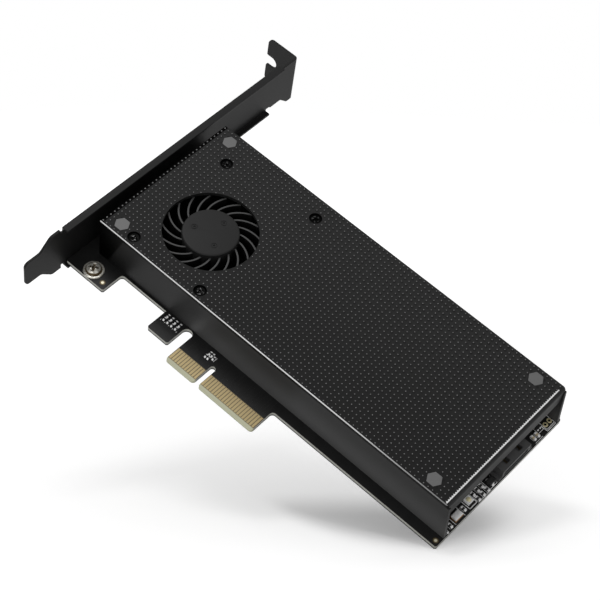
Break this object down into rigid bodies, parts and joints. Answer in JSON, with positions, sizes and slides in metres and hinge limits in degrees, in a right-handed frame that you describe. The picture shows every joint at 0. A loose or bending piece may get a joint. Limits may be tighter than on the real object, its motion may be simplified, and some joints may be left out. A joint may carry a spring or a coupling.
{
  "type": "nvme adapter card",
  "caption": "Full-height expansion card with a folded slot bracket, an edge connector, and a blower-cooled dotted cover over two drive sockets.",
  "frame": {"origin": "centre of the edge connector's key notch, at the connector's lower edge, on the board's component face", "axes": "+X from the slot bracket to the tail, along the board's long edge; +Y from the edge connector to the board's upper edge; +Z out of the component face, through the cover"},
  "size_m": [0.1543, 0.12, 0.0212],
  "materials": {
    "solder_mask": "black solder mask over glass-epoxy board",
    "contact_gold": "gold plating over nickel",
    "black_bracket_steel": "satin black plated steel sheet",
    "black_cover_sheet": "satin black anodised sheet with a printed dot grid",
    "nickel_steel": "bright nickel-plated steel",
    "black_screw_steel": "black-finished steel",
    "fan_plastic": "moulded black plastic",
    "rotor_steel": "soft steel and bonded magnet",
    "brass": "plain turned brass",
    "driver_board_mask": "green solder mask",
    "connector_plastic": "high-temperature black moulding",
    "header_plastic": "natural nylon",
    "component_black": "black moulding compound",
    "crystal_can": "plain metal can",
    "light_lens": "clear lens over a yellow-white phosphor",
    "chip_ceramic": "fired ceramic with tinned ends"
  },
  "bodies": {
    "card": {"bracket_screw_lower": "nickel_steel", "bracket_screw_upper": "nickel_steel", "bulk_capacitors": "crystal_can", "circuit_board": "solder_mask", "clock_crystal": "crystal_can", "coupling_capacitors": "chip_ceramic", "cover": "black_cover_sheet", "cover_screw_1": "nickel_steel", "cover_screw_2": "nickel_steel", "cover_screw_3": "nickel_steel", "cover_screw_4": "nickel_steel", "cover_standoff_1": "nickel_steel", "cover_standoff_2": "nickel_steel", "cover_standoff_3": "nickel_steel", "cover_standoff_4": "nickel_steel", "data_port": "connector_plastic", "data_port_contacts": "contact_gold", "edge_contacts_back": "contact_gold", "edge_contacts_front": "contact_gold", "fan_bearing": "brass", "fan_driver_board": "driver_board_mask", "fan_header": "header_plastic", "fan_header_pins": "contact_gold", "fan_housing": "fan_plastic", "fan_screw_1": "black_screw_steel", "fan_screw_2": "black_screw_steel", "fan_screw_3": "black_screw_steel", "fan_screw_4": "black_screw_steel", "fan_stator": "rotor_steel", "nvme_post": "brass", "nvme_socket": "connector_plastic", "nvme_socket_contacts": "contact_gold", "port_diode": "component_black", "port_regulator": "component_black", "power_inductor": "component_black", "power_regulator": "component_black", "sata_post": "brass", "sata_socket": "connector_plastic", "sata_socket_contacts": "contact_gold", "slot_bracket": "black_bracket_steel", "status_light": "light_lens", "strap_resistors": "chip_ceramic", "tail_resistors": "chip_ceramic"},
    "impeller": {"fan_impeller": "fan_plastic", "fan_magnet_ring": "rotor_steel", "fan_rotor_cup": "rotor_steel", "fan_shaft": "nickel_steel"}
  },
  "joints": [
    {"name": "fan_spin", "type": "hinge", "parent": "card", "child": "impeller", "pos_m": [-0.0276, 0.0341, 0.012], "axis": [0, 0, 1], "continuous": true}
  ]
}
